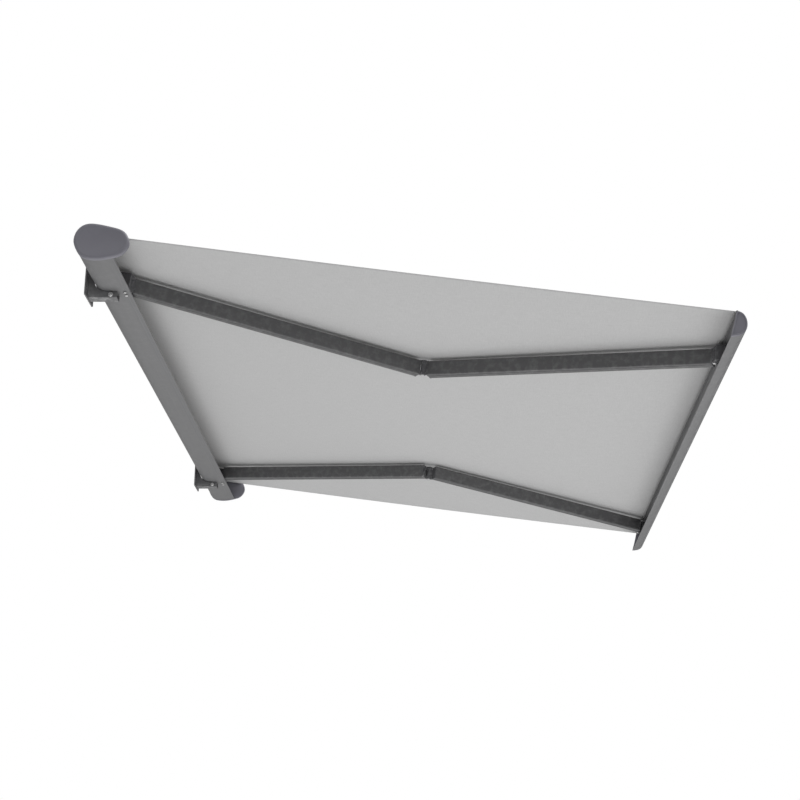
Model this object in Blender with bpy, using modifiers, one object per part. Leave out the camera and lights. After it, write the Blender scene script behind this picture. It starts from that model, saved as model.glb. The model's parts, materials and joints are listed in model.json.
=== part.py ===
"""Full-cassette folding-arm awning, opened out: cassette, roller, two folding arms, front bar and fabric.

Metres, +Z up. The wall is the plane Y = 0 and the awning opens towards -Y. X runs along the cassette.
Z = 0 is the middle height of the wall brackets. Sections are drawn as (depth from the wall, height).
The arms move in planes parallel to the fabric, so they are built in a frame tilted with it.
"""

import math

import bmesh
import bpy
from mathutils import Matrix, Vector

# Overall size
WIDTH = 3.500
HALF = WIDTH / 2
CAP_THICK = 0.020
GAP = 0.0003

# Fabric plane: it leaves the cassette mouth at MOUTH and falls towards the front bar
PITCH = math.radians(7.29)
MOUTH_DEPTH = 0.2086
MOUTH_HEIGHT = 0.051
FABRIC_HALF = 1.718
FABRIC_THICK = 0.0006
FABRIC_END = 2.2726
OFF_THE_ROLL = 0.0078

# Roller
ROLLER_DEPTH = 0.056
ROLLER_HEIGHT = 0.034
ROLLER_R = 0.0350
ROLLER_WALL = 0.0016
WRAP_THICK = 0.0009
ROLLER_HALF = 1.700

# Folding arms, in the tilted frame: "along" runs down the fabric from the mouth, "level" is normal to it
PIVOT_X = 1.374
ELBOW_X = 0.816
SHOULDER_ALONG = -0.044
FRONT_ALONG = 2.252
ELBOW_ALONG = (SHOULDER_ALONG + FRONT_ALONG) / 2
ARM_LENGTH = math.hypot(PIVOT_X - ELBOW_X, ELBOW_ALONG - SHOULDER_ALONG)
ARM_ANGLE = math.atan2(PIVOT_X - ELBOW_X, ELBOW_ALONG - SHOULDER_ALONG)
ARM_TOP = -0.020
ARM_BOTTOM = -0.083
ARM_TALL = ARM_TOP - ARM_BOTTOM
ARM_WIDE = 0.045
ARM_WALL = 0.0030
ARM_OFFSET = 0.0232
ARM_CORNER = 0.005
GROOVE_ACROSS = 0.008
GROOVE_WIDE = 0.0035
GROOVE_DEEP = 0.0012
EYE_R = 0.0125
PIN_R = 0.0060
PIN_PLAY = 0.0006
COLLAR_START = 0.0140
TUBE_START = 0.0190
PLUG_END = 0.070
EYE_TALL = 0.0300
NECK_SIDES = (0.0037, 0.0140)
LUG_PLAY = 0.0005
ELBOW_HEAD = (0.0065, 0.0022)
PIVOT_HEAD = (0.0070, 0.0024)
MID_LEVEL = (ARM_TOP + ARM_BOTTOM) / 2
EYE_LOW = MID_LEVEL - EYE_TALL / 2
EYE_HIGH = MID_LEVEL + EYE_TALL / 2

# Spring inside each forearm, measured along it from the elbow
SPRING_START = 0.330
SPRING_END = 0.930
SPRING_R = 0.0140
SPRING_BORE = 0.0105
ANCHOR_LONG = 0.018

# Cassette shell and its wall brackets
SHELL_INSET = 0.0015
BACK_WALL = 0.0032
HOOD_WALL = 0.0026
HOOD_EDGE = 0.0570
BRACKET_STEEL = 0.005
PLATE_WIDE = 0.140
PLATE_TALL = 0.150
CHEEK_GAP = 0.048
LEFT_BRACKET_X = -1.406
RIGHT_BRACKET_X = 1.363
WEB_BOTTOM = -0.0700
CRADLE_END = 0.118
SLOT_WIDE = 0.011
SLOT_TALL = 0.036
SLOT_SPREAD = 0.041
SLOT_HEIGHTS = (-0.047, 0.040)
CLAMP_DEPTH = 0.0930
CLAMP_HEIGHT = -0.0590
CLAMP_HOLE_R = 0.0045

# Shoulder brackets: what holds each one to the bottom of the cassette
SHOULDER_FOOT = 0.0030
SCREW_DEPTH = 0.1430
SCREW_STEPS = (0.002, 0.034)
SCREW_R = 0.0030
SCREW_HOLE_R = 0.0034

# Tubular motor in the right end of the roller
MOTOR_LONG = 0.620
MOTOR_R = 0.0250
MOTOR_HEAD_R = 0.0210
MOTOR_SHAFT_R = 0.0080
MOTOR_SHAFT_LONG = 0.034
IDLER_R = 0.0062

# Front bar
BAR_HALF = 1.728
BAR_CAP = 0.012
BAR_WALL = 0.0028
KEDER_DEPTH = 2.4665
KEDER_HEIGHT = -0.2379
KEDER_R = 0.0052
KEDER_BORE = 0.0034


for old in list(bpy.data.objects):
    bpy.data.objects.remove(old)

awning = bpy.data.collections.new("folding_arm_awning")
bpy.context.scene.collection.children.link(awning)
cutters = bpy.data.collections.new("cutters")
bpy.context.scene.collection.children.link(cutters)


def finish(name, colour, roughness, metallic=0.0):
    made = bpy.data.materials.new(name)
    made.use_nodes = True
    shader = made.node_tree.nodes["Principled BSDF"]
    shader.inputs["Base Color"].default_value = (*colour, 1.0)
    shader.inputs["Roughness"].default_value = roughness
    shader.inputs["Metallic"].default_value = metallic
    made.diffuse_color = (*colour, 1.0)
    return made


ANTHRACITE = finish("anthracite_coating", (0.20, 0.20, 0.205), 0.5)
ARM_COAT = finish("arm_coating", (0.10, 0.10, 0.105), 0.5)
CAP_PLASTIC = finish("cap_plastic", (0.19, 0.19, 0.20), 0.45)
CAST = finish("cast_aluminium", (0.09, 0.09, 0.095), 0.5, 0.3)
STEEL = finish("bright_steel", (0.78, 0.78, 0.78), 0.25, 1.0)
ZINC = finish("galvanised_steel", (0.62, 0.63, 0.64), 0.4, 1.0)
DARK_STEEL = finish("dark_steel", (0.10, 0.10, 0.11), 0.45, 0.6)
FABRIC = finish("awning_fabric", (0.55, 0.55, 0.55), 0.9)


# ---- shapes ---------------------------------------------------------------------------------------

def store(obj, material, parent=None, helper=False):
    """Links the object, gives it its material and hangs it from its parent without moving it in the parent's frame."""
    if material is not None:
        obj.data.materials.append(material)
    if helper:
        cutters.objects.link(obj)
        obj.hide_render = True
        obj.display_type = "WIRE"
    else:
        awning.objects.link(obj)
    obj.parent = parent
    return obj


def frame(name, location=(0, 0, 0), rotation=(0, 0, 0), parent=None):
    empty = bpy.data.objects.new(name, None)
    empty.location = location
    empty.rotation_euler = rotation
    empty.parent = parent
    awning.objects.link(empty)
    return empty


def arc(centre, radius, start, end, steps):
    """Points along a circular arc, angles in degrees."""
    angles = [math.radians(start + (end - start) * i / steps) for i in range(steps + 1)]
    return [(centre[0] + radius * math.cos(a), centre[1] + radius * math.sin(a)) for a in angles]


def rounded(corners, radius, steps=4):
    """A closed outline whose corners are rounded by arcs."""
    points = []
    count = len(corners)
    for i, corner in enumerate(corners):
        here = Vector(corner)
        back = (Vector(corners[i - 1]) - here).normalized()
        ahead = (Vector(corners[(i + 1) % count]) - here).normalized()
        half = back.angle(ahead) / 2
        reach = radius / math.tan(half)
        middle = here + (back + ahead).normalized() * radius / math.sin(half)
        first = here + back * reach - middle
        last = here + ahead * reach - middle
        turn = first.angle_signed(last)
        for k in range(steps + 1):
            points.append(tuple(middle + Matrix.Rotation(-turn * k / steps, 2) @ first))
    return points


def box_outline(low, high, radius=0.0, steps=4):
    corners = [(low[0], low[1]), (high[0], low[1]), (high[0], high[1]), (low[0], high[1])]
    return rounded(corners, radius, steps) if radius else corners


def slot_outline(centre, wide, tall, steps=6):
    """A round-ended slot that stands upright."""
    r = wide / 2
    rise = tall / 2 - r
    return (arc((centre[0], centre[1] + rise), r, 0, 180, steps)
            + arc((centre[0], centre[1] - rise), r, 180, 360, steps))


def smooth_line(points, steps, closed):
    """A Catmull-Rom curve through the points."""
    count = len(points)
    made = []
    for i in range(count if closed else count - 1):
        if closed:
            a, b, c, d = (Vector(points[(i + k) % count]) for k in (-1, 0, 1, 2))
        else:
            a, b, c, d = (Vector(points[min(max(i + k, 0), count - 1)]) for k in (-1, 0, 1, 2))
        for k in range(steps):
            t = k / steps
            made.append(tuple(0.5 * (2 * b + (c - a) * t + (2 * a - 5 * b + 4 * c - d) * t ** 2
                                     + (3 * b - a - 3 * c + d) * t ** 3)))
    if not closed:
        made.append(tuple(points[-1]))
    return made


def offset(points, distance, closed):
    """The same line moved sideways, to the right of its direction for a positive distance."""
    count = len(points)
    moved = []
    for i, point in enumerate(points):
        before = points[i - 1] if closed or i else point
        after = points[(i + 1) % count] if closed or i < count - 1 else point
        along = (Vector(after) - Vector(before)).normalized()
        moved.append((point[0] + along.y * distance, point[1] - along.x * distance))
    return moved


def strip(line, thick):
    """The outline of a wall that has this line as its outer face."""
    return line + offset(line, thick, closed=False)[::-1]


def hull(points):
    """Convex hull of the points, anticlockwise."""
    points = sorted(set(points))
    chains = []
    for row in (points, points[::-1]):
        chain = []
        for p in row:
            while len(chain) > 1:
                a, b = chain[-2], chain[-1]
                if (b[0] - a[0]) * (p[1] - a[1]) - (b[1] - a[1]) * (p[0] - a[0]) > 1e-12:
                    break
                chain.pop()
            chain.append(p)
        chains.append(chain[:-1])
    return chains[0] + chains[1]


def prism(name, outlines, low, high, material, parent=None, helper=False, place=None):
    """A flat outline, with any holes after it, drawn out from low to high along its normal."""
    curve = bpy.data.curves.new(name, "CURVE")
    curve.dimensions = "2D"
    curve.fill_mode = "BOTH"
    curve.extrude = (high - low) / 2
    for outline in outlines:
        spline = curve.splines.new("POLY")
        spline.points.add(len(outline) - 1)
        for point, (u, v) in zip(spline.points, outline):
            point.co = (u, v, 0.0, 1.0)
        spline.use_cyclic_u = True
    drawn = bpy.data.objects.new(name + "_outline", curve)
    bpy.context.scene.collection.objects.link(drawn)
    bpy.context.view_layer.update()
    mesh = bpy.data.meshes.new_from_object(drawn.evaluated_get(bpy.context.evaluated_depsgraph_get()))
    bpy.data.objects.remove(drawn)
    bpy.data.curves.remove(curve)
    shape = bmesh.new()
    shape.from_mesh(mesh)
    bmesh.ops.translate(shape, verts=shape.verts, vec=(0, 0, (low + high) / 2))
    bmesh.ops.remove_doubles(shape, verts=shape.verts, dist=1e-6)
    bmesh.ops.recalc_face_normals(shape, faces=shape.faces)
    shape.to_mesh(mesh)
    shape.free()
    mesh.materials.clear()
    mesh.name = name
    obj = bpy.data.objects.new(name, mesh)
    if place is not None:
        obj.matrix_local = place
    store(obj, material, parent, helper)
    mesh.shade_smooth()
    mesh.set_sharp_from_angle(angle=math.radians(30))
    return obj


# Draws (depth, height) sections across the cassette: the outline's normal points to -X
SECTION_PLACE = Matrix(((0, 0, -1, 0), (-1, 0, 0, 0), (0, 1, 0, 0), (0, 0, 0, 1)))


def extrusion(name, outlines, x_low, x_high, material, helper=False):
    return prism(name, outlines, -x_high, -x_low, material, helper=helper, place=SECTION_PLACE)


def turned(name, profile, material, parent=None, place=None, steps=24, helper=False):
    """A solid of revolution about its local Z. The profile is (radius, height) and runs down the outer side."""
    mesh = bpy.data.meshes.new(name)
    closed = profile[0][0] > 1e-6
    edges = [(i, i + 1) for i in range(len(profile) - 1)]
    if closed:
        edges.append((len(profile) - 1, 0))
    mesh.from_pydata([(r, 0.0, z) for r, z in profile], edges, [])
    obj = bpy.data.objects.new(name, mesh)
    screw = obj.modifiers.new("turn", "SCREW")
    screw.steps = steps
    screw.render_steps = steps
    screw.use_merge_vertices = True
    screw.merge_threshold = 0.00001
    screw.use_smooth_shade = True
    if place is not None:
        obj.matrix_local = place
    return store(obj, material, parent, helper)


def ring(outer, inner, low, high):
    return [(outer, high), (outer, low), (inner, low), (inner, high)]


def rod(radius, low, high):
    return [(0.0, high), (radius, high), (radius, low), (0.0, low)]


def headed(radius, low, high, head_r, head_tall):
    """A pin with a chamfered head below it."""
    chamfer = 0.25 * head_tall
    return [(0.0, high), (radius - 0.001, high), (radius, high - 0.001), (radius, low), (head_r, low),
            (head_r, low - head_tall + chamfer), (head_r - chamfer, low - head_tall), (0.0, low - head_tall)]


def rimmed_cap(name, outline, start, levels, side):
    """A moulded cover: rings of the outline, each one inset and set out from the one before."""
    mesh = bpy.data.meshes.new(name)
    shape = bmesh.new()
    rings = []
    for inset, out in levels:
        line = offset(outline, inset, closed=True)
        rings.append([shape.verts.new((side * (start + out), -d, h)) for d, h in line])
    for inner, outer in zip(rings, rings[1:]):
        for i in range(len(inner)):
            k = (i + 1) % len(inner)
            shape.faces.new((inner[i], inner[k], outer[k], outer[i]))
    shape.faces.new(rings[0])
    shape.faces.new(rings[-1])
    bmesh.ops.recalc_face_normals(shape, faces=shape.faces)
    shape.to_mesh(mesh)
    shape.free()
    mesh.shade_smooth()
    mesh.set_sharp_from_angle(angle=math.radians(35))
    store(bpy.data.objects.new(name, mesh), CAP_PLASTIC)


def boolean(obj, tool, operation):
    modifier = obj.modifiers.new(operation.lower(), "BOOLEAN")
    modifier.operation = operation
    modifier.object = tool
    return obj


def along_x(depth, height, x=0.0):
    """Places a turned piece with its axis along +X."""
    return Matrix(((0, 0, 1, x), (0, 1, 0, -depth), (-1, 0, 0, height), (0, 0, 0, 1)))


# ---- cassette -------------------------------------------------------------------------------------

CASSETTE_OUTLINE = smooth_line([
    (0.0125, 0.024), (0.0250, 0.074), (0.0660, 0.0985), (0.1390, 0.088), (0.1990, 0.066),
    (0.2195, 0.019), (0.1970, -0.022), (0.1500, -0.039), (0.0940, -0.0455), (0.0420, -0.032),
], 5, closed=True)
SHELL = offset(CASSETTE_OUTLINE, SHELL_INSET, closed=True)
BACK_START = 6
HOOD_END = 21
LIP_AT = 35


def build_back_profile():
    """Wall-side half of the cassette: from behind the top, round the back and along the bottom to the lip."""
    bottom = SHELL[LIP_AT:] + SHELL[:BACK_START]
    start = bottom[0]
    wall = strip(bottom, BACK_WALL)
    bead = arc((start[0] + 0.0104, start[1] + 0.0036), 0.0030, -70, 160, 7)
    lip = [(start[0] + 0.0060, start[1] + 0.0008)] + bead + [(start[0] + 0.0045, start[1] + BACK_WALL + 0.0002)]
    profile = extrusion("cassette_back_profile", [wall + lip[::-1]], -HALF + CAP_THICK + GAP,
                        HALF - CAP_THICK - GAP, ANTHRACITE)
    for x in [side * (PIVOT_X + step) for side in (-1, 1) for step in SCREW_STEPS]:
        hole = turned("screw_hole", rod(SCREW_HOLE_R, -0.060, -0.030), None,
                      place=Matrix.Translation((x, -SCREW_DEPTH, 0)), steps=16, helper=True)
        boolean(profile, hole, "DIFFERENCE")


def build_hood():
    """Top cover, from its seam behind the top to its front edge over the fabric."""
    top = SHELL[BACK_START:HOOD_END]
    gap = Vector(top[1]) - Vector(top[0])
    top[0] = tuple(Vector(top[0]) + gap.normalized() * 2 * GAP)
    end = top[-1]
    drip = [(end[0] + 0.0022, end[1] - 0.0040), (end[0] + 0.0020, HOOD_EDGE), (end[0] - 0.0004, HOOD_EDGE)]
    inner = offset(top, HOOD_WALL, closed=False)
    reach = HALF - CAP_THICK - GAP
    extrusion("cassette_hood", [top + drip + inner[::-1]], -reach, reach, ANTHRACITE)


def build_end_caps():
    levels = ((0.0, 0.0), (0.0, 0.013), (0.0016, 0.0165), (0.0050, 0.0188), (0.0095, CAP_THICK),
              (0.0130, 0.0194), (0.0150, 0.0186))
    for side, name in ((-1, "left_end_cap"), (1, "right_end_cap")):
        rimmed_cap(name, CASSETTE_OUTLINE, HALF - CAP_THICK, levels, side)


# ---- wall brackets --------------------------------------------------------------------------------

def cheek_outline():
    """Side of the bracket: a cradle edge that follows the cassette, a straight bottom and a short front edge."""
    hug = [p for p in offset(CASSETTE_OUTLINE, -0.0006, closed=True)[40:] if p[0] < CRADLE_END - 0.004]
    front = [(CRADLE_END, WEB_BOTTOM), (CRADLE_END, hug[0][1] + 0.0005)]
    return [(0.001, WEB_BOTTOM)] + front + hug + [(0.001, 0.012)]


def build_wall_brackets():
    for name, x in (("left", LEFT_BRACKET_X), ("right", RIGHT_BRACKET_X)):
        plate = [box_outline((-PLATE_WIDE / 2, -PLATE_TALL / 2), (PLATE_WIDE / 2, PLATE_TALL / 2), 0.006)]
        for across in (-SLOT_SPREAD, SLOT_SPREAD):
            plate += [slot_outline((across, height), SLOT_WIDE, SLOT_TALL) for height in SLOT_HEIGHTS]
        upright = Matrix(((1, 0, 0, x), (0, 0, -1, 0), (0, 1, 0, 0), (0, 0, 0, 1)))
        bracket = prism(name + "_wall_bracket", plate, 0.0, BRACKET_STEEL, ANTHRACITE, place=upright)
        outer = CHEEK_GAP / 2
        for low, high in ((-outer, -outer + BRACKET_STEEL), (outer - BRACKET_STEEL, outer)):
            hole = arc((CLAMP_DEPTH, CLAMP_HEIGHT), CLAMP_HOLE_R, 0, 337.5, 15)
            cheek = extrusion("cheek", [cheek_outline(), hole], x + low, x + high, None, helper=True)
            boolean(bracket, cheek, "UNION")
        web = box_outline((0.001, WEB_BOTTOM - 0.0001), (CRADLE_END - 0.002, WEB_BOTTOM + BRACKET_STEEL))
        floor = extrusion("web", [web], x - outer + 0.0002, x + outer - 0.0002, None, helper=True)
        boolean(bracket, floor, "UNION")
        build_clamp(name, x)


def build_clamp(name, x):
    """Clamp block between the cheeks, under the cassette, with its bolt through all three."""
    inner = CHEEK_GAP / 2 - BRACKET_STEEL - GAP
    low, high = (0.0755, WEB_BOTTOM + BRACKET_STEEL + GAP), (0.1100, -0.0475)
    hole = arc((CLAMP_DEPTH, CLAMP_HEIGHT), CLAMP_HOLE_R, 0, 337.5, 15)
    extrusion(name + "_clamp_block", [box_outline(low, high, 0.002), hole], x - inner, x + inner, ZINC)
    reach = CHEEK_GAP / 2
    bolt = turned(name + "_clamp_bolt", rod(0.0040, -reach - 0.012, reach + 0.001), STEEL,
                  place=along_x(CLAMP_DEPTH, CLAMP_HEIGHT, x))
    crown = [(0, 0), (0.0085, 0), (0.0095, -0.001), (0.0095, -0.0046), (0.0080, -0.0062), (0, -0.0062)]
    head = turned("bolt_head", crown, None, place=along_x(CLAMP_DEPTH, CLAMP_HEIGHT, x - reach - GAP), helper=True)
    nut = turned("bolt_nut", rod(0.0080, 0.0, 0.0065), None, steps=6,
                 place=along_x(CLAMP_DEPTH, CLAMP_HEIGHT, x + reach + GAP), helper=True)
    boolean(bolt, head, "UNION")
    boolean(bolt, nut, "UNION")


# ---- roller, motor and fabric ---------------------------------------------------------------------

def build_roller():
    axis = along_x(ROLLER_DEPTH, ROLLER_HEIGHT)
    hub = frame("roller_axis")
    hub.matrix_local = axis
    turned("roller_tube", ring(ROLLER_R, ROLLER_R - ROLLER_WALL, -ROLLER_HALF, ROLLER_HALF), ZINC, hub, steps=48)
    wrapped = FABRIC_HALF - 0.020
    turned("fabric_roll", ring(ROLLER_R + GAP + WRAP_THICK, ROLLER_R + GAP, -wrapped, wrapped), FABRIC, hub, steps=48)
    bore = ROLLER_R - ROLLER_WALL - GAP
    inside = ROLLER_HALF - MOTOR_LONG
    turned("motor_drive_wheel", ring(bore, MOTOR_SHAFT_R + 0.0005, inside - 0.030, inside - 0.006),
           CAP_PLASTIC, hub, steps=32)
    turned("motor_crown_ring", ring(bore, MOTOR_R + 0.0006, ROLLER_HALF - 0.022, ROLLER_HALF - 0.002),
           CAP_PLASTIC, hub, steps=32)
    turned("idler_plug", ring(bore, IDLER_R + PIN_PLAY, -ROLLER_HALF + 0.001, -ROLLER_HALF + 0.045), CAP_PLASTIC, hub, steps=32)
    end = HALF - CAP_THICK - 0.010
    head = [(0.0, end), (MOTOR_HEAD_R, end), (MOTOR_HEAD_R, ROLLER_HALF + 0.001)]
    case = [(MOTOR_R, ROLLER_HALF), (MOTOR_R, inside)]
    shaft = [(MOTOR_SHAFT_R, inside), (MOTOR_SHAFT_R, inside - MOTOR_SHAFT_LONG), (0.0, inside - MOTOR_SHAFT_LONG)]
    turned("tubular_motor", head + case + shaft, DARK_STEEL, place=axis, steps=32)
    turned("idler_pin", rod(IDLER_R, -ROLLER_HALF - 0.014, -ROLLER_HALF + 0.040), STEEL, place=axis)


def build_roller_brackets():
    """Plates inside the end caps that hold the motor's head and the idler's pin."""
    for name, side, held_r in (("motor_bracket", 1, MOTOR_HEAD_R), ("idler_bracket", -1, IDLER_R)):
        inner = HALF - CAP_THICK - 0.0215
        plate = rounded([(0.0255, 0.000), (0.0870, 0.000), (0.0870, 0.066), (0.0255, 0.066)], 0.010)
        hole = arc((ROLLER_DEPTH, ROLLER_HEIGHT), held_r + GAP, 0, 345, 23)
        low, high = sorted((side * inner, side * (inner + 0.006)))
        extrusion(name, [plate, hole], low, high, ZINC)


TILT = frame("fabric_slope", (0, -MOUTH_DEPTH, MOUTH_HEIGHT), (PITCH, 0, 0))


def build_fabric():
    """The canvas, from where it leaves the roll to the groove of the front bar."""
    touch = (ROLLER_DEPTH - MOUTH_DEPTH) * math.cos(PITCH) + (MOUTH_HEIGHT - ROLLER_HEIGHT) * math.sin(PITCH)
    outline = box_outline((-FABRIC_HALF, -FABRIC_END), (FABRIC_HALF, -touch - OFF_THE_ROLL))
    prism("fabric", [outline], -FABRIC_THICK, 0.0, FABRIC, TILT)


# ---- folding arms ---------------------------------------------------------------------------------


def pivot_frame(name, x, along, angle):
    return frame(name, (x, -along, 0), (0, 0, angle), TILT)


def circle(radius, steps=28):
    return arc((0, 0), radius, 0, 360 * (steps - 1) / steps, steps - 1)


def plug_outline(inner, start, end, wide):
    """Plan of the casting's block, on the arm's centre line at inner * ARM_OFFSET."""
    middle = inner * ARM_OFFSET
    return box_outline((start, middle - wide / 2), (end, middle + wide / 2))


def build_tube(name, inner, start, end, parent):
    """Hollow arm profile, with a shallow groove along its underside."""
    middle = inner * ARM_OFFSET
    half = ARM_WIDE / 2
    outer = box_outline((middle - half, ARM_BOTTOM), (middle + half, ARM_TOP), ARM_CORNER)
    near, far = [middle - inner * GROOVE_ACROSS + step * GROOVE_WIDE / 2 for step in (-1, 1)]
    floor = ARM_BOTTOM + GROOVE_DEEP
    groove = [(near, ARM_BOTTOM), (near, floor), (far, floor), (far, ARM_BOTTOM)]
    outer = outer[:5] + groove + outer[5:]
    bore = half - ARM_WALL
    hollow = box_outline((middle - bore, ARM_BOTTOM + ARM_WALL), (middle + bore, ARM_TOP - ARM_WALL), 0.0005, 1)
    lay = Matrix(((0, 0, 1, 0), (1, 0, 0, 0), (0, 1, 0, 0), (0, 0, 0, 1)))
    prism(name, [outer, hollow], start, end, ARM_COAT, parent, place=lay)


def casting(name, inner, parent, forked):
    """Cast end of an arm: a collar against the tube, a plug inside it, and one eye or a fork of two at the pivot."""
    wide = ARM_WIDE - 2 * ARM_WALL - 2 * GAP
    plug = plug_outline(inner, COLLAR_START, PLUG_END, wide)
    collar = plug_outline(inner, COLLAR_START, TUBE_START - GAP, ARM_WIDE)
    neck = [(COLLAR_START + reach, inner * side) for reach in (0.0, 0.001) for side in NECK_SIDES]
    eye = hull(circle(EYE_R) + neck)
    body = prism(name, [plug], ARM_BOTTOM + ARM_WALL + GAP, ARM_TOP - ARM_WALL - GAP, CAST, parent)
    boolean(body, prism("collar", [collar], ARM_BOTTOM, ARM_TOP, None, parent, helper=True), "UNION")
    hole = circle(PIN_R + PIN_PLAY)
    if forked:
        spans = ((ARM_BOTTOM, EYE_LOW - LUG_PLAY), (EYE_HIGH + LUG_PLAY, ARM_TOP))
    else:
        spans = ((EYE_LOW, EYE_HIGH),)
    for low, high in spans:
        boolean(body, prism("eye", [eye, hole], low, high, None, parent, helper=True), "UNION")


def build_arm(side):
    """One folding arm: rear arm from the shoulder to the elbow, forearm from the elbow to the front bar."""
    word = "left_" if side < 0 else "right_"
    inner = -side
    rear = pivot_frame(word + "shoulder_axis", side * PIVOT_X, SHOULDER_ALONG, -math.pi / 2 - side * ARM_ANGLE)
    fore = pivot_frame(word + "elbow_axis", side * ELBOW_X, ELBOW_ALONG, -math.pi / 2 + side * ARM_ANGLE)
    hand = pivot_frame(word + "front_axis", side * PIVOT_X, FRONT_ALONG, math.pi / 2 + side * ARM_ANGLE)
    elbow = pivot_frame(word + "elbow_fork_axis", side * ELBOW_X, ELBOW_ALONG, math.pi / 2 - side * ARM_ANGLE)
    build_tube(word + "rear_arm_tube", inner, TUBE_START, ARM_LENGTH - TUBE_START, rear)
    build_tube(word + "forearm_tube", inner, TUBE_START, ARM_LENGTH - TUBE_START, fore)
    casting(word + "shoulder_knuckle", inner, rear, forked=False)
    casting(word + "elbow_fork", -inner, elbow, forked=True)
    casting(word + "elbow_tongue", inner, fore, forked=False)
    casting(word + "front_knuckle", -inner, hand, forked=False)
    turned(word + "elbow_pin", headed(PIN_R, ARM_BOTTOM - GAP, ARM_TOP - LUG_PLAY, *ELBOW_HEAD), STEEL, elbow)
    build_spring(word, inner, fore)


def build_spring(word, inner, parent):
    """Close-wound tension spring in the forearm and the steel strap that ties it to the elbow."""
    middle = inner * ARM_OFFSET
    lay = Matrix(((0, 0, 1, 0), (1, 0, 0, middle), (0, 1, 0, MID_LEVEL), (0, 0, 0, 1)))
    coil = ring(SPRING_R, SPRING_BORE, SPRING_START, SPRING_END)
    turned(word + "arm_spring", coil, DARK_STEEL, parent, place=lay, steps=20)
    strap = box_outline((-0.0080, -0.0012), (0.0080, 0.0012), 0.0008, 2)
    prism(word + "spring_strap", [strap], PLUG_END + GAP, SPRING_START + 0.015, DARK_STEEL, parent, place=lay)
    half_wide = ARM_WIDE / 2 - ARM_WALL - GAP
    half_tall = ARM_TALL / 2 - ARM_WALL - GAP
    block = box_outline((-half_wide, -half_tall), (half_wide, half_tall), 0.002, 2)
    prism(word + "spring_anchor", [block], SPRING_END + GAP, SPRING_END + ANCHOR_LONG, CAST, parent, place=lay)


def fork_bracket(name, axis, out, back, deep, foot):
    """Casting that carries an arm's end: two lugs round the pin, joined by a block on the side called back."""
    def turn(points):
        return [(out * x, back * y) for x, y in points]

    block = turn(box_outline((-0.010, 0.0150), (0.044, deep), 0.003))
    wing = turn(box_outline((0.0160, -0.0050), (0.044, deep - 0.0002), 0.003))
    lug = hull(circle(EYE_R) + turn([(-0.008, 0.0190), (0.020, 0.0190), (0.030, 0.0), (0.030, 0.019)]))
    hole = circle(PIN_R + PIN_PLAY)
    bottom = ARM_BOTTOM - foot
    body = prism(name, [block], bottom, ARM_TOP, CAST, axis)
    boolean(body, prism("wing", [wing], bottom + 0.0001, ARM_TOP - 0.0001, None, axis, helper=True), "UNION")
    for low, high in ((ARM_BOTTOM, EYE_LOW - LUG_PLAY), (EYE_HIGH + LUG_PLAY, ARM_TOP)):
        tool = prism("lug", [lug, hole], low + 0.0002, high - 0.0002, None, axis, helper=True)
        boolean(body, tool, "UNION")


def build_pivots(side):
    """Shoulder bracket inside the cassette, front bracket inside the bar, and the pin through each."""
    word = "left_" if side < 0 else "right_"
    shoulder = pivot_frame(word + "shoulder_bracket_axis", side * PIVOT_X, SHOULDER_ALONG, 0.0)
    front = pivot_frame(word + "front_bracket_axis", side * PIVOT_X, FRONT_ALONG, 0.0)
    fork_bracket(word + "shoulder_bracket", shoulder, side, 1, 0.0400, SHOULDER_FOOT)
    fork_bracket(word + "front_bracket", front, side, -1, 0.0390, 0.0)
    for axis, place in ((shoulder, "shoulder_pin"), (front, "front_pin")):
        turned(word + place, headed(PIN_R, ARM_BOTTOM - GAP, ARM_TOP - LUG_PLAY, *PIVOT_HEAD), STEEL, axis)


def build_shoulder_screws():
    """Screws up through the bottom of the cassette into each shoulder bracket's foot."""
    for side in (-1, 1):
        word = "left_" if side < 0 else "right_"
        bracket = bpy.data.objects[word + "shoulder_bracket"]
        for number, step in enumerate(SCREW_STEPS, 1):
            place = Matrix.Translation((side * (PIVOT_X + step), -SCREW_DEPTH, 0))
            turned(f"{word}shoulder_screw_{number}", headed(SCREW_R, -0.0410, -0.0250, 0.0060, 0.0030), STEEL,
                   place=place, steps=20)
            hole = turned("screw_hole", rod(SCREW_HOLE_R, -0.060, -0.024), None, place=place, steps=16, helper=True)
            boolean(bracket, hole, "DIFFERENCE")


# ---- front bar ------------------------------------------------------------------------------------

BAR_FACE = smooth_line([
    (2.4740, -0.2405), (2.4850, -0.2470), (2.4925, -0.2570), (2.4985, -0.2720), (2.5000, -0.2900),
    (2.4965, -0.3080), (2.4860, -0.3240), (2.4660, -0.3340), (2.4400, -0.3375),
], 4, closed=False)
GROOVE_AT = 26


def build_front_profile():
    """C-shaped profile: a rounded face, a drip groove under it and a round keder channel at its top rear edge."""
    centre = (KEDER_DEPTH, KEDER_HEIGHT)
    channel = arc(centre, KEDER_R, 10, 150, 7)
    bore = arc(centre, KEDER_BORE, 150, -130, 12)
    under = arc(centre, KEDER_R, -130, -60, 4)
    inner_face = offset(BAR_FACE, BAR_WALL, closed=False)[3:-1]
    hook = [(2.4395, -0.3335), (2.4380, -0.3345), (2.4378, -0.3365)]
    before, after = Vector(BAR_FACE[GROOVE_AT]), Vector(BAR_FACE[GROOVE_AT + 1])
    along = (after - before).normalized()
    into = Vector((along.y, -along.x)) * 0.0013
    groove = [tuple(before + along * 0.0004), tuple(before + along * 0.0010 + into),
              tuple(before + along * 0.0030 + into), tuple(before + along * 0.0036)]
    face = BAR_FACE[:GROOVE_AT + 1] + groove + BAR_FACE[GROOVE_AT + 1:]
    outline = channel + bore + under + inner_face + hook + face[::-1]
    extrusion("front_profile", [outline], -BAR_HALF + BAR_CAP + GAP, BAR_HALF - BAR_CAP - GAP, ANTHRACITE)


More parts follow.
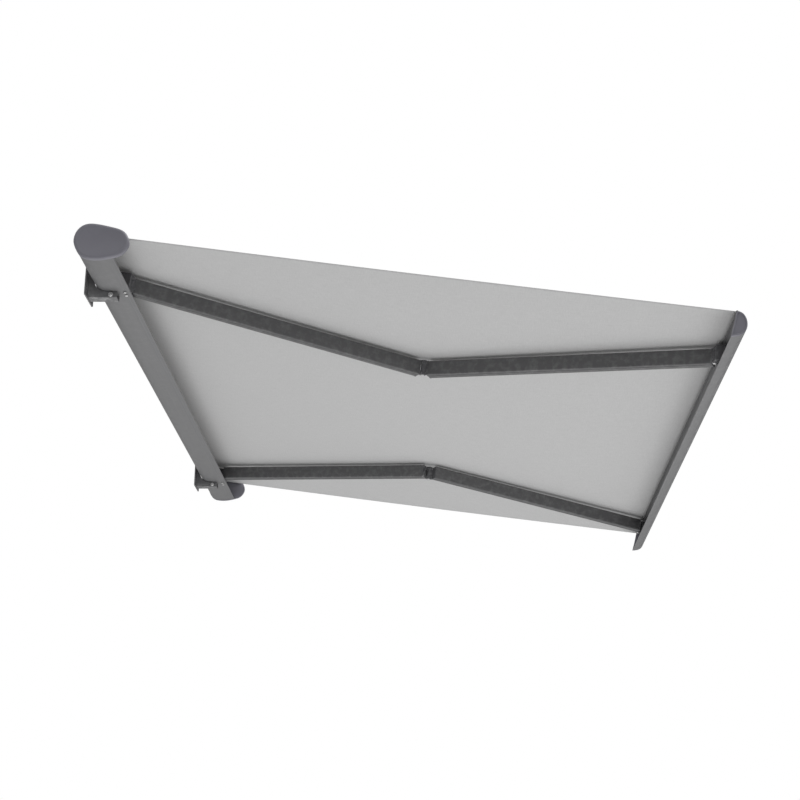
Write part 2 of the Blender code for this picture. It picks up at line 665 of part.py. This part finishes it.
def build_bar_caps():
    back = [(2.4375, -0.3355), (2.4420, -0.3200), (2.4490, -0.2950), (2.4560, -0.2680), (2.4610, -0.2450),
            (2.4650, -0.2390)]
    levels = ((0.0, 0.0), (0.0, 0.0092), (0.0012, 0.0114), (0.0036, BAR_CAP), (0.0060, 0.0114),
              (0.0068, 0.0082))
    for side, name in ((-1, "left_bar_cap"), (1, "right_bar_cap")):
        rimmed_cap(name, BAR_FACE[::2] + back, BAR_HALF - BAR_CAP, levels, side)


def build_keder():
    reach = FABRIC_HALF - 0.006
    turned("fabric_keder_rod", rod(KEDER_BORE - PIN_PLAY, -reach, reach), CAP_PLASTIC,
           place=along_x(KEDER_DEPTH, KEDER_HEIGHT), steps=16)


def hang_front_bar():
    """The bar's own pieces turn with the left front pivot, and stay where they are."""
    axis = pivot_frame("front_bar_axis", -PIVOT_X, FRONT_ALONG, 0.0)
    bpy.context.view_layer.update()
    for name in ("front_profile", "left_bar_cap", "right_bar_cap", "fabric_keder_rod"):
        piece = bpy.data.objects[name]
        piece.parent = axis
        piece.matrix_parent_inverse = axis.matrix_world.inverted()


build_end_caps()
build_back_profile()
build_hood()
build_wall_brackets()
build_roller()
build_roller_brackets()
build_fabric()
for side in (-1, 1):
    build_arm(side)
    build_pivots(side)
build_shoulder_screws()
build_front_profile()
build_bar_caps()
build_keder()
hang_front_bar()
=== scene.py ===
"""The looks of a folding-arm cassette awning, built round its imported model.

Metres. X runs along the wall, the wall stands behind at +Y, the awning opens towards -Y, Z is up.
"""

import json
import math

import bmesh
import bpy
from mathutils import Matrix, Vector

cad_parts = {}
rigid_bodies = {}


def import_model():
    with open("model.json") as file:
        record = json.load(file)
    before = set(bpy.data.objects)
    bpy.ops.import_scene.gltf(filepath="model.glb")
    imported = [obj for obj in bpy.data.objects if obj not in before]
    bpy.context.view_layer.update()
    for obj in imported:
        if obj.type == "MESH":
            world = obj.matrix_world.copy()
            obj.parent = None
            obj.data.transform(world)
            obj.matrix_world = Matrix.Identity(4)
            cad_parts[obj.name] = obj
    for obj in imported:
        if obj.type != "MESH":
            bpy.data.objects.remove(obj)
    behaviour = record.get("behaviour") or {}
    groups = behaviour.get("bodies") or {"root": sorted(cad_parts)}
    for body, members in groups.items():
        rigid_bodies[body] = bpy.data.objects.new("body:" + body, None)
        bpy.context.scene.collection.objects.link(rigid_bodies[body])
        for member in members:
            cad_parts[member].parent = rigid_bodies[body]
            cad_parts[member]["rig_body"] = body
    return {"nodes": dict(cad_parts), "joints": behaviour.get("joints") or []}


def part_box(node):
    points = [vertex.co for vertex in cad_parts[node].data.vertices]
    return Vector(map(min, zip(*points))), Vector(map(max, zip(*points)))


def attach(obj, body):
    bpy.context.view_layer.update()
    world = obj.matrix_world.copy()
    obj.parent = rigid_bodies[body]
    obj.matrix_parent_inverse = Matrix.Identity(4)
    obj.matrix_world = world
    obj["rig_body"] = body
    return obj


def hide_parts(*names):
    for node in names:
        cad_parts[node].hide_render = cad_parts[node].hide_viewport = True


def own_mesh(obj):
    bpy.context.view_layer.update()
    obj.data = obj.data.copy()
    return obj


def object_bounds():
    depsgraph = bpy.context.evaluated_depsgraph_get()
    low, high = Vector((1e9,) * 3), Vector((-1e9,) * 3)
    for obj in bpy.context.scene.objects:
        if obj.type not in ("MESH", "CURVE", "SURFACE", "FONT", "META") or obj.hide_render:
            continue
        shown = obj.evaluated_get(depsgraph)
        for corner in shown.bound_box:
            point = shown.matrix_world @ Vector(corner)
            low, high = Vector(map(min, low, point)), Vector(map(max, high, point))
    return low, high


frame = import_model()
cad_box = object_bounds()

JOINTS = {joint["name"]: joint for joint in frame["joints"]}
SIDES = (("left", -1), ("right", 1))

# The slope of the canvas: its normal is the arms' joint axis, DOWN runs from the cassette to the front bar
NORMAL = Vector(JOINTS["left_shoulder"]["axis"]).normalized()
DOWN = Vector((0.0, -NORMAL.z, NORMAL.y))
ACROSS = Vector((1.0, 0.0, 0.0))
FOLDED = math.radians(JOINTS["left_shoulder"]["range_deg"][1])

CANVAS_LOW, CANVAS_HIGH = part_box("fabric")
CANVAS_TOP = Vector((0.0, CANVAS_HIGH.y, CANVAS_HIGH.z))
CANVAS_LONG = (CANVAS_HIGH.z - CANVAS_LOW.z) / -DOWN.z
CANVAS_HALF = CANVAS_HIGH.x


def on_slope(x, down, level):
    """A point of the tilted frame: down the canvas from its start on the roller, and level above its top face."""
    return CANVAS_TOP + ACROSS * x + DOWN * down + NORMAL * level


def centre(node):
    low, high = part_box(node)
    return (low + high) / 2


# ---- shared effects -------------------------------------------------------------------------------

def node(tree, kind, values=None, **settings):
    """Adds a shader node, sets its properties, then its sockets: a link for a socket, else a value."""
    made = tree.nodes.new("ShaderNode" + kind)
    for name, value in settings.items():
        setattr(made, name, value)
    for name, value in (values or {}).items():
        if isinstance(value, bpy.types.NodeSocket):
            tree.links.new(value, made.inputs[name])
        else:
            made.inputs[name].default_value = value
    return made


def effect(name, inputs, outputs):
    """An empty node group with named inputs, each with its usual value, and named outputs."""
    tree = bpy.data.node_groups.new(name, "ShaderNodeTree")
    for label, value in inputs.items():
        kind = "NodeSocketColor" if hasattr(value, "__len__") else "NodeSocketFloat"
        socket = tree.interface.new_socket(label, in_out="INPUT", socket_type=kind)
        socket.default_value = value
    for label, kind in outputs.items():
        tree.interface.new_socket(label, in_out="OUTPUT", socket_type="NodeSocket" + kind)
    return tree, node(tree, "TexCoord"), tree.nodes.new("NodeGroupInput")


def closed(tree, **results):
    """Joins the group's results to its outputs."""
    end = tree.nodes.new("NodeGroupOutput")
    for label, socket in results.items():
        tree.links.new(socket, end.inputs[label])
    return tree


def stretched(tree, place, scale):
    return node(tree, "Mapping", {"Vector": place, "Scale": scale}).outputs["Vector"]


def spread(tree, value, low, high, to_low=0.0, to_high=1.0):
    return node(tree, "MapRange", {"Value": value, "From Min": low, "From Max": high, "To Min": to_low,
                                   "To Max": to_high}).outputs["Result"]


def times(tree, first, second):
    return node(tree, "Math", {0: first, 1: second}, operation="MULTIPLY").outputs["Value"]


def noise(tree, place, scale, detail=2.0, roughness=0.5):
    return node(tree, "TexNoise", {"Vector": place, "Scale": scale, "Detail": detail,
                                   "Roughness": roughness}).outputs["Fac"]


def powder_grain():
    """Fine orange peel of a powder coating, and a slow drift of its shade."""
    tree, place, given = effect("powder_grain", {"Peel": 900.0}, {"Height": "Float", "Drift": "Float"})
    spot = place.outputs["Object"]
    peel = node(tree, "TexNoise", {"Vector": spot, "Scale": given.outputs["Peel"], "Detail": 3.0}).outputs["Fac"]
    drift = noise(tree, spot, 5.0, 4.0, 0.6)
    return closed(tree, Height=peel, Drift=spread(tree, drift, 0.3, 0.7))


def edge_wear():
    """Where edges have been rubbed: convex corners, broken up by patches."""
    tree, place, given = effect("edge_wear", {"Amount": 0.5}, {"Mask": "Float"})
    corner = spread(tree, node(tree, "NewGeometry").outputs["Pointiness"], 0.52, 0.60)
    patch = spread(tree, noise(tree, place.outputs["Object"], 38.0, 5.0, 0.65), 0.46, 0.66)
    return closed(tree, Mask=times(tree, times(tree, corner, patch), given.outputs["Amount"]))


def settled_dust():
    """Dust on the faces that look up, thicker in patches."""
    tree, place, given = effect("settled_dust", {"Amount": 0.5}, {"Mask": "Float"})
    facing = node(tree, "SeparateXYZ", {0: node(tree, "NewGeometry").outputs["Normal"]}).outputs["Z"]
    up = spread(tree, facing, 0.25, 0.95)
    patch = spread(tree, noise(tree, place.outputs["Object"], 9.0, 6.0, 0.7), 0.35, 0.75)
    return closed(tree, Mask=times(tree, times(tree, up, patch), given.outputs["Amount"]))


def drawn_lines():
    """Fine lines left along an extruded profile by its die."""
    tree, place, given = effect("drawn_lines", {"Fineness": 1.0}, {"Height": "Float"})
    lines = stretched(tree, place.outputs["Object"], (0.6, 420.0, 420.0))
    fine = node(tree, "TexNoise", {"Vector": lines, "Scale": given.outputs["Fineness"], "Detail": 2.0})
    return closed(tree, Height=fine.outputs["Fac"])


def plain_weave():
    """Plain weave of canvas: weft threads across, warp threads down, and threads that vary in shade."""
    tree, place, given = effect("plain_weave", {"Threads": 1500.0}, {"Height": "Float", "Shade": "Float"})
    spot = place.outputs["Object"]
    axes = node(tree, "SeparateXYZ", {0: spot})
    half = math.pi
    waves = []
    for label in ("X", "Y"):
        turned = times(tree, axes.outputs[label], given.outputs["Threads"])
        waves.append(node(tree, "Math", {0: times(tree, turned, half)}, operation="SINE").outputs["Value"])
    crossing = times(tree, waves[0], waves[1])
    weft = noise(tree, stretched(tree, spot, (26.0, 330.0, 1.0)), 1.0, 3.0, 0.6)
    warp = noise(tree, stretched(tree, spot, (330.0, 20.0, 1.0)), 1.0, 3.0, 0.6)
    slub = node(tree, "Math", {0: weft, 1: warp}, operation="ADD").outputs["Value"]
    return closed(tree, Height=spread(tree, crossing, -1.0, 1.0), Shade=spread(tree, slub, 0.6, 1.4))


def cast_skin():
    """The sandy skin of a painted casting."""
    tree, place, given = effect("cast_skin", {"Grit": 420.0}, {"Height": "Float"})
    grit = node(tree, "TexNoise", {"Vector": place.outputs["Object"], "Scale": given.outputs["Grit"],
                                   "Detail": 5.0, "Roughness": 0.7})
    return closed(tree, Height=grit.outputs["Fac"])


def zinc_spangle():
    """Flowers of zinc crystals, each with its own shade."""
    tree, place, given = effect("zinc_spangle", {"Crystals": 260.0}, {"Shade": "Float"})
    flowers = node(tree, "TexVoronoi", {"Vector": place.outputs["Object"], "Scale": given.outputs["Crystals"]})
    shade = node(tree, "SeparateColor", {"Color": flowers.outputs["Color"]}).outputs["Red"]
    return closed(tree, Shade=shade)


EFFECTS = {made.name: made for made in (powder_grain(), edge_wear(), settled_dust(), drawn_lines(),
                                        plain_weave(), cast_skin(), zinc_spangle())}


# ---- finishes -------------------------------------------------------------------------------------

def use(tree, name, **values):
    """Places a shared effect in a material, with this material's own values."""
    made = tree.nodes.new("ShaderNodeGroup")
    made.node_tree = EFFECTS[name]
    for label, value in values.items():
        made.inputs[label].default_value = value
    return made.outputs


def finish(name, roughness, metallic=0.0, **sockets):
    """A material with its Principled shader, whose constant values are set on the shader itself."""
    made = bpy.data.materials.new(name)
    made.use_nodes = True
    shader = made.node_tree.nodes["Principled BSDF"]
    shader.inputs["Roughness"].default_value = roughness
    shader.inputs["Metallic"].default_value = metallic
    for label, value in sockets.items():
        shader.inputs[label.replace("_", " ")].default_value = value
    return made, made.node_tree, shader


def blended(tree, mask, first, second):
    """Colour first where the mask is 0 and second where it is 1. Either may be a colour or a socket."""
    mix = node(tree, "Mix", data_type="RGBA", clamp_factor=True)
    for index, value in ((0, mask), (6, first), (7, second)):
        if isinstance(value, bpy.types.NodeSocket):
            tree.links.new(value, mix.inputs[index])
        else:
            mix.inputs[index].default_value = value if index == 0 else (*value, 1.0)
    return mix.outputs[2]


def shade(colour, factor):
    return tuple(channel * factor for channel in colour)


def bumped(tree, shader, height, distance, strength=1.0):
    bump = node(tree, "Bump", {"Height": height, "Distance": distance, "Strength": strength})
    tree.links.new(bump.outputs["Normal"], shader.inputs["Normal"])


def link(tree, socket, shader, label):
    tree.links.new(socket, shader.inputs[label])


DUST = (0.42, 0.40, 0.37)
BARE_METAL = (0.50, 0.50, 0.50)


def powder_coat(name, colour, roughness, dust, wear, peel=900.0):
    made, tree, shader = finish(name, roughness, Coat_Weight=0.12, Coat_Roughness=0.35)
    grain = use(tree, "powder_grain", Peel=peel)
    base = blended(tree, grain["Drift"], shade(colour, 0.93), shade(colour, 1.07))
    rubbed = blended(tree, use(tree, "edge_wear", Amount=wear)["Mask"], base, BARE_METAL)
    dusted = blended(tree, use(tree, "settled_dust", Amount=dust)["Mask"], rubbed, DUST)
    link(tree, dusted, shader, "Base Color")
    link(tree, spread(tree, grain["Drift"], 0.0, 1.0, roughness - 0.05, roughness + 0.06), shader, "Roughness")
    bumped(tree, shader, grain["Height"], 0.00012, 0.5)
    return made


def extruded_coat(name, colour, roughness, dust, wear):
    made, tree, shader = finish(name, roughness, Coat_Weight=0.12, Coat_Roughness=0.35)
    grain = use(tree, "powder_grain", Peel=1000.0)
    lines = use(tree, "drawn_lines", Fineness=1.0)["Height"]
    base = blended(tree, grain["Drift"], shade(colour, 0.94), shade(colour, 1.06))
    lined = blended(tree, lines, base, shade(colour, 1.08))
    rubbed = blended(tree, use(tree, "edge_wear", Amount=wear)["Mask"], lined, BARE_METAL)
    dusted = blended(tree, use(tree, "settled_dust", Amount=dust)["Mask"], rubbed, DUST)
    link(tree, dusted, shader, "Base Color")
    link(tree, spread(tree, grain["Drift"], 0.0, 1.0, roughness - 0.05, roughness + 0.06), shader, "Roughness")
    relief = node(tree, "Math", {0: grain["Height"], 1: lines}, operation="ADD").outputs["Value"]
    bumped(tree, shader, relief, 0.0001, 0.4)
    return made


def moulded_plastic():
    made, tree, shader = finish("cap_plastic", 0.38, Coat_Weight=0.2, Coat_Roughness=0.25)
    colour = (0.215, 0.212, 0.246)
    grain = use(tree, "powder_grain", Peel=1400.0)
    base = blended(tree, grain["Drift"], shade(colour, 0.95), shade(colour, 1.05))
    rubbed = blended(tree, use(tree, "edge_wear", Amount=0.25)["Mask"], base, shade(colour, 1.5))
    dusted = blended(tree, use(tree, "settled_dust", Amount=0.3)["Mask"], rubbed, DUST)
    link(tree, dusted, shader, "Base Color")
    link(tree, spread(tree, grain["Drift"], 0.0, 1.0, 0.34, 0.44), shader, "Roughness")
    bumped(tree, shader, grain["Height"], 0.00005, 0.35)
    return made


def painted_casting():
    made, tree, shader = finish("cast_aluminium", 0.5)
    colour = (0.085, 0.085, 0.09)
    grain = use(tree, "powder_grain", Peel=700.0)
    base = blended(tree, grain["Drift"], shade(colour, 0.85), shade(colour, 1.15))
    rubbed = blended(tree, use(tree, "edge_wear", Amount=0.6)["Mask"], base, BARE_METAL)
    link(tree, rubbed, shader, "Base Color")
    link(tree, spread(tree, grain["Drift"], 0.0, 1.0, 0.42, 0.6), shader, "Roughness")
    bumped(tree, shader, use(tree, "cast_skin", Grit=420.0)["Height"], 0.0002, 0.6)
    return made


def bright_zinc():
    made, tree, shader = finish("bright_steel", 0.25, metallic=1.0)
    drift = use(tree, "powder_grain", Peel=600.0)
    link(tree, blended(tree, drift["Drift"], (0.70, 0.70, 0.71), (0.86, 0.86, 0.85)), shader, "Base Color")
    link(tree, spread(tree, drift["Drift"], 0.0, 1.0, 0.2, 0.34), shader, "Roughness")
    bumped(tree, shader, drift["Height"], 0.00004, 0.4)
    return made


def galvanised():
    made, tree, shader = finish("galvanised_steel", 0.4, metallic=0.9)
    flowers = use(tree, "zinc_spangle", Crystals=260.0)["Shade"]
    link(tree, blended(tree, flowers, (0.46, 0.47, 0.48), (0.66, 0.67, 0.68)), shader, "Base Color")
    link(tree, spread(tree, flowers, 0.0, 1.0, 0.32, 0.5), shader, "Roughness")
    bumped(tree, shader, use(tree, "powder_grain", Peel=500.0)["Height"], 0.00005, 0.4)
    return made


def spring_steel():
    made, tree, shader = finish("dark_steel", 0.4, metallic=0.8)
    grain = use(tree, "powder_grain", Peel=500.0)
    link(tree, blended(tree, grain["Drift"], (0.09, 0.09, 0.10), (0.17, 0.16, 0.16)), shader, "Base Color")
    link(tree, spread(tree, grain["Drift"], 0.0, 1.0, 0.3, 0.5), shader, "Roughness")
    bumped(tree, shader, grain["Height"], 0.00005, 0.5)
    return made


def nylon():
    made, tree, shader = finish("black_nylon", 0.45)
    grain = use(tree, "powder_grain", Peel=800.0)
    link(tree, blended(tree, grain["Drift"], (0.03, 0.03, 0.03), (0.05, 0.05, 0.05)), shader, "Base Color")
    link(tree, spread(tree, grain["Drift"], 0.0, 1.0, 0.4, 0.55), shader, "Roughness")
    bumped(tree, shader, grain["Height"], 0.00006, 0.4)
    return made


def canvas(name, colour):
    made, tree, shader = finish(name, 0.88, Sheen_Weight=0.25, Sheen_Roughness=0.5, Specular_IOR_Level=0.25)
    weave = use(tree, "plain_weave", Threads=1500.0)
    link(tree, blended(tree, weave["Shade"], shade(colour, 0.90), shade(colour, 1.10)), shader, "Base Color")
    link(tree, spread(tree, weave["Shade"], 0.0, 1.0, 0.82, 0.95), shader, "Roughness")
    bumped(tree, shader, weave["Height"], 0.0002, 0.5)
    return made


FINISHES = {
    "anthracite_coating": extruded_coat("anthracite_coating", (0.17, 0.17, 0.174), 0.46, 0.35, 0.35),
    "arm_coating": extruded_coat("arm_coating", (0.088, 0.088, 0.090), 0.48, 0.30, 0.35),
    "bracket_coating": powder_coat("bracket_coating", (0.15, 0.15, 0.154), 0.48, 0.35, 0.5),
    "cap_plastic": moulded_plastic(),
    "cast_aluminium": painted_casting(),
    "bright_steel": bright_zinc(),
    "galvanised_steel": galvanised(),
    "dark_steel": spring_steel(),
    "black_nylon": nylon(),
    "awning_fabric": canvas("awning_fabric", (0.56, 0.56, 0.56)),
}


# ---- making pieces --------------------------------------------------------------------------------

def into_scene(name, mesh, material, body):
    piece = bpy.data.objects.new(name, mesh)
    bpy.context.scene.collection.objects.link(piece)
    mesh.materials.clear()
    mesh.materials.append(FINISHES[material])
    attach(piece, body)
    return piece


def applied(piece):
    """Turns the piece's modifiers into its mesh."""
    graph = bpy.context.evaluated_depsgraph_get()
    made = bpy.data.meshes.new_from_object(piece.evaluated_get(graph))
    piece.modifiers.clear()
    piece.data = made
    return piece


def eased(source, edge, material, steps=3, sharp=32.0):
    """A finished copy of a CAD piece with its edges eased by a small radius and its curves shaded smooth."""
    cad = frame["nodes"][source]
    mesh = cad.data.copy()
    shape = bmesh.new()
    shape.from_mesh(mesh)
    bmesh.ops.remove_doubles(shape, verts=shape.verts, dist=0.00002)
    bmesh.ops.dissolve_limit(shape, angle_limit=math.radians(0.4), verts=shape.verts, edges=shape.edges)
    shape.to_mesh(mesh)
    shape.free()
    mesh.shade_smooth()
    piece = into_scene(source + "_finished", mesh, material, cad["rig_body"])
    round_off = piece.modifiers.new("eased_edges", "BEVEL")
    round_off.width = edge
    round_off.segments = steps
    round_off.limit_method = "ANGLE"
    round_off.angle_limit = math.radians(sharp)
    round_off.harden_normals = True
    round_off.miter_outer = "MITER_ARC"
    applied(piece)
    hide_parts(source)
    return piece


EASED = {
    "cassette_back_profile": (0.0006, "anthracite_coating"),
    "cassette_hood": (0.0006, "anthracite_coating"),
    "front_profile": (0.0005, "anthracite_coating"),
    "idler_bracket": (0.0006, "galvanised_steel"),
    "motor_bracket": (0.0006, "galvanised_steel"),
}
for word, _ in SIDES:
    EASED.update({
        word + "_end_cap": (0.0010, "cap_plastic"),
        word + "_bar_cap": (0.0008, "cap_plastic"),
        word + "_wall_bracket": (0.0007, "bracket_coating"),
        word + "_clamp_block": (0.0006, "bracket_coating"),
        word + "_shoulder_bracket": (0.0009, "cast_aluminium"),
        word + "_front_bracket": (0.0009, "cast_aluminium"),
        word + "_shoulder_knuckle": (0.0009, "cast_aluminium"),
        word + "_elbow_fork": (0.0009, "cast_aluminium"),
        word + "_elbow_tongue": (0.0009, "cast_aluminium"),
        word + "_front_knuckle": (0.0009, "cast_aluminium"),
        word + "_rear_arm_tube": (0.0004, "arm_coating"),
        word + "_forearm_tube": (0.0004, "arm_coating"),
    })

for source, (edge, material) in EASED.items():
    eased(source, edge, material)

for name, obj in frame["nodes"].items():
    if obj.hide_render or name == "fabric":
        continue
    slot = obj.data.materials[0].name.split(".")[0]
    obj.data.materials[0] = FINISHES[slot]


# ---- canvas ---------------------------------------------------------------------------------------

def build_canvas():
    """The stretched canvas: one sheet with a little sag between the roller and the bar, its two faces closed at
    the edges.
    """
    columns, rows = 172, 120
    thick = 0.0006
    sag = 0.006
    shape = bmesh.new()
    faces = ([], [])
    for side, depth in ((0, 0.0), (1, -thick)):
        for row in range(rows + 1):
            down = CANVAS_LONG * row / rows
            line = []
            for column in range(columns + 1):
                x = CANVAS_HALF * (2.0 * column / columns - 1.0)
                droop = -sag * math.sin(math.pi * row / rows) * (1.0 - (x / CANVAS_HALF) ** 8 * 0.3)
                line.append(shape.verts.new(on_slope(x, down, depth + droop)))
            faces[side].append(line)
    for side, rows_of in enumerate(faces):
        for first, second in zip(rows_of, rows_of[1:]):
            for column in range(columns):
                loop = (first[column], first[column + 1], second[column + 1], second[column])
                shape.faces.new(loop if side else loop[::-1])
    top, under = faces
    for column in range(columns):
        shape.faces.new((top[0][column], top[0][column + 1], under[0][column + 1], under[0][column]))
        shape.faces.new((top[-1][column + 1], top[-1][column], under[-1][column], under[-1][column + 1]))
    for row in range(rows):
        shape.faces.new((top[row + 1][0], top[row][0], under[row][0], under[row + 1][0]))
        shape.faces.new((top[row][-1], top[row + 1][-1], under[row + 1][-1], under[row][-1]))
    bmesh.ops.recalc_face_normals(shape, faces=shape.faces)
    mesh = bpy.data.meshes.new("canvas")
    shape.to_mesh(mesh)
    shape.free()
    mesh.shade_smooth()
    piece = into_scene("canvas", mesh, "awning_fabric", "cassette")
    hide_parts("fabric")
    return piece


canvas_piece = build_canvas()
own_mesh(canvas_piece)


# ---- room, lights and camera ----------------------------------------------------------------------

FLOOR_LEVEL = -2.75


def build_floor():
    """A plain pale floor, clear from underneath."""
    mesh = bpy.data.meshes.new("floor")
    reach = 14.0
    corners = [(-reach, -reach - 1.2, FLOOR_LEVEL), (reach, -reach - 1.2, FLOOR_LEVEL),
               (reach, reach - 1.2, FLOOR_LEVEL), (-reach, reach - 1.2, FLOOR_LEVEL)]
    mesh.from_pydata(corners, [], [(0, 1, 2, 3)])
    floor = bpy.data.objects.new("floor", mesh)
    bpy.context.scene.collection.objects.link(floor)
    made, tree, shader = finish("pale_floor", 0.7)
    shader.inputs["Base Color"].default_value = (0.82, 0.82, 0.82, 1.0)
    back = node(tree, "NewGeometry").outputs["Backfacing"]
    clear = node(tree, "BsdfTransparent").outputs["BSDF"]
    either = node(tree, "MixShader", {0: back, 1: shader.outputs["BSDF"], 2: clear})
    tree.links.new(either.outputs["Shader"], tree.nodes["Material Output"].inputs["Surface"])
    mesh.materials.append(made)


def build_world():
    """White behind everything, with a softer light from the sides than from above and below."""
    world = bpy.data.worlds.new("studio")
    bpy.context.scene.world = world
    world.use_nodes = True
    tree = world.node_tree
    tree.nodes.clear()
    up = node(tree, "SeparateXYZ", {0: node(tree, "TexCoord").outputs["Generated"]}).outputs["Z"]
    tall = node(tree, "Math", {0: up}, operation="ABSOLUTE").outputs["Value"]
    level = spread(tree, tall, 0.0, 0.9, 0.30, 0.62)
    soft = node(tree, "Background", {"Strength": level})
    white = node(tree, "Background", {"Strength": 1.0})
    for shader in (soft, white):
        shader.inputs["Color"].default_value = (1.0, 1.0, 1.0, 1.0)
    seen = node(tree, "LightPath").outputs["Is Camera Ray"]
    mix = node(tree, "MixShader", {0: seen, 1: soft.outputs[0], 2: white.outputs[0]})
    end = node(tree, "OutputWorld")
    tree.links.new(mix.outputs[0], end.inputs["Surface"])


def area_light(name, place, target, size, power):
    data = bpy.data.lights.new(name, "AREA")
    data.shape = "RECTANGLE"
    data.size, data.size_y = size
    data.energy = power
    lamp = bpy.data.objects.new(name, data)
    lamp.location = place
    lamp.rotation_euler = (Vector(target) - Vector(place)).to_track_quat("-Z", "Y").to_euler()
    lamp.visible_camera = False
    bpy.context.scene.collection.objects.link(lamp)
    return lamp


def build_camera():
    data = bpy.data.cameras.new("camera")
    data.lens = 72.79
    data.sensor_width = 36.0
    data.shift_x = -0.0666
    data.shift_y = 0.0159
    data.clip_end = 100.0
    camera = bpy.data.objects.new("camera", data)
    camera.location = (-7.2575, -1.4309, -2.4250)
    camera.rotation_euler = [math.radians(turn) for turn in (107.943, -0.123, -89.963)]
    bpy.context.scene.collection.objects.link(camera)
    bpy.context.scene.camera = camera


build_floor()
build_world()
MIDDLE = (cad_box[0] + cad_box[1]) / 2
area_light("low_bounce", (0.0, -1.3, FLOOR_LEVEL + 0.02), (0.0, -1.3, 0.0), (7.0, 6.0), 72.0)
area_light("overhead", (-1.5, -3.0, 4.5), MIDDLE, (5.0, 4.0), 150.0)
build_camera()
bpy.context.scene.view_settings.view_transform = "Standard"
